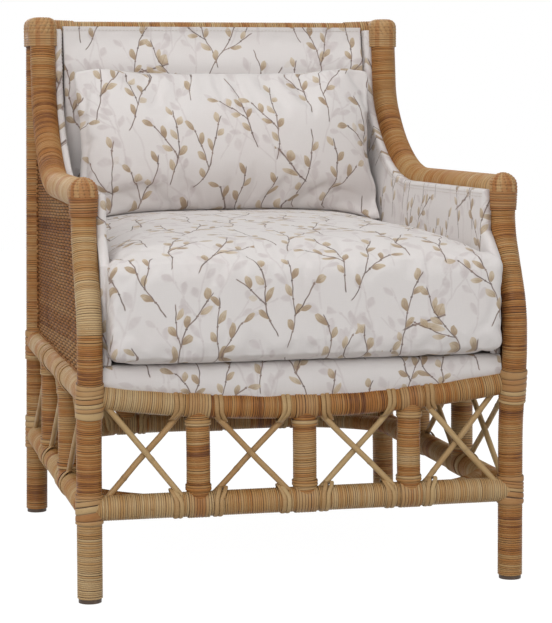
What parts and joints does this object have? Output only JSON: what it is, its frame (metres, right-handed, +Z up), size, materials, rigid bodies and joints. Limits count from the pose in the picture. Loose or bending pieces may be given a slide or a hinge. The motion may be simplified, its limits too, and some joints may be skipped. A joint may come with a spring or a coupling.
{
  "type": "armchair",
  "caption": "Armchair with a rattan-wound pole frame, woven side and back panels, crossed-cane apron, upholstered inside, loose seat cushion and lumbar pillow.",
  "frame": {"origin": "on the floor under the middle of the chair's outer box", "axes": "+Z up, -Y towards the front of the seat, +X towards the sitter's left hand"},
  "size_m": [0.6942, 0.7734, 0.88],
  "materials": {
    "wound_rattan": "satin",
    "rattan_lashing": "satin",
    "bare_cane": "satin",
    "woven_rattan": "satin",
    "slat_wood": "sanded",
    "glide_plastic": "matt",
    "upholstery_fabric": "printed weave",
    "cushion_fabric": "printed weave",
    "pillow_fabric": "printed weave"
  },
  "bodies": {
    "frame": {"arm_pad_left": "upholstery_fabric", "arm_pad_right": "upholstery_fabric", "arm_rail_left": "wound_rattan", "arm_rail_right": "wound_rattan", "back_canes": "bare_cane", "back_cap_left": "rattan_lashing", "back_cap_right": "rattan_lashing", "back_pad": "upholstery_fabric", "back_post_left": "wound_rattan", "back_post_right": "wound_rattan", "back_stile_straps": "rattan_lashing", "back_stiles": "wound_rattan", "brace_back_left": "wound_rattan", "brace_back_right": "wound_rattan", "brace_front_left": "wound_rattan", "brace_front_right": "wound_rattan", "front_canes": "bare_cane", "front_cap_left": "rattan_lashing", "front_cap_right": "rattan_lashing", "front_post_left": "wound_rattan", "front_post_right": "wound_rattan", "front_stile_straps": "rattan_lashing", "front_stiles": "wound_rattan", "glides": "glide_plastic", "left_canes": "bare_cane", "left_stile_straps": "rattan_lashing", "left_stiles": "wound_rattan", "post_lashings_back_left": "rattan_lashing", "post_lashings_back_right": "rattan_lashing", "post_lashings_front_left": "rattan_lashing", "post_lashings_front_right": "rattan_lashing", "right_canes": "bare_cane", "right_stile_straps": "rattan_lashing", "right_stiles": "wound_rattan", "seat_deck": "upholstery_fabric", "seat_rail_back": "wound_rattan", "seat_rail_front": "wound_rattan", "seat_rail_left": "wound_rattan", "seat_rail_right": "wound_rattan", "seat_slats": "slat_wood", "stretcher_back": "wound_rattan", "stretcher_front": "wound_rattan", "stretcher_left": "wound_rattan", "stretcher_right": "wound_rattan", "top_rail": "wound_rattan", "top_rail_collars": "rattan_lashing", "woven_panel_back": "woven_rattan", "woven_panel_left": "woven_rattan", "woven_panel_right": "woven_rattan"},
    "seat_cushion": {"seat_cushion": "cushion_fabric"},
    "lumbar_pillow": {"lumbar_pillow": "pillow_fabric"}
  },
  "joints": [
    {"name": "cushion_lift", "type": "slide", "parent": "frame", "child": "seat_cushion", "axis": [0, 0, 1], "range_m": [0, 0.54]},
    {"name": "pillow_lift", "type": "slide", "parent": "seat_cushion", "child": "lumbar_pillow", "axis": [0, 0, 1], "range_m": [0, 0.35]}
  ]
}
